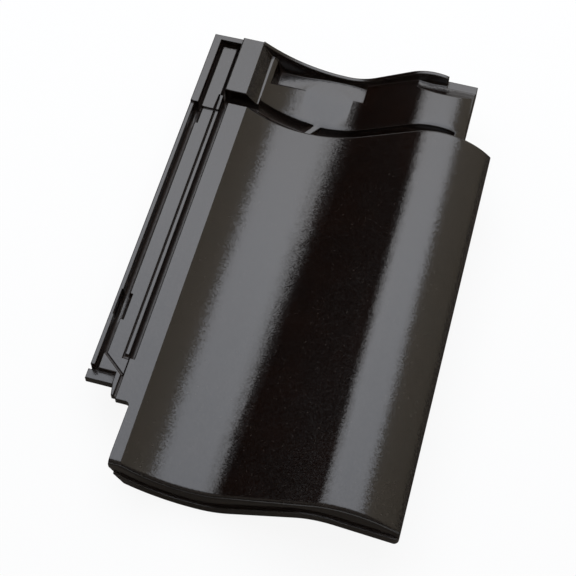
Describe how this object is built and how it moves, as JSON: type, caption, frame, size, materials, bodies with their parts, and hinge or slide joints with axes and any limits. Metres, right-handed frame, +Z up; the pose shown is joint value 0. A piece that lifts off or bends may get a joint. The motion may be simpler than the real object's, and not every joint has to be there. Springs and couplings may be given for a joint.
{
  "type": "roof tile",
  "caption": "Interlocking clay pantile with a trough and roll wave, a ribbed side lock, a head lock, hanging nibs and a nose at the foot, in dark glaze.",
  "frame": {"origin": "centre of the footprint, at the level of the floor the tile lies on", "axes": "+Y from the nose at the foot to the head, +X from the side lock to the wing, +Z up out of the weather side"},
  "size_m": [0.263, 0.41, 0.0705],
  "materials": {
    "glazed_clay": "gloss"
  },
  "bodies": {
    "root": {"roof_tile": "glazed_clay"}
  },
  "joints": []
}
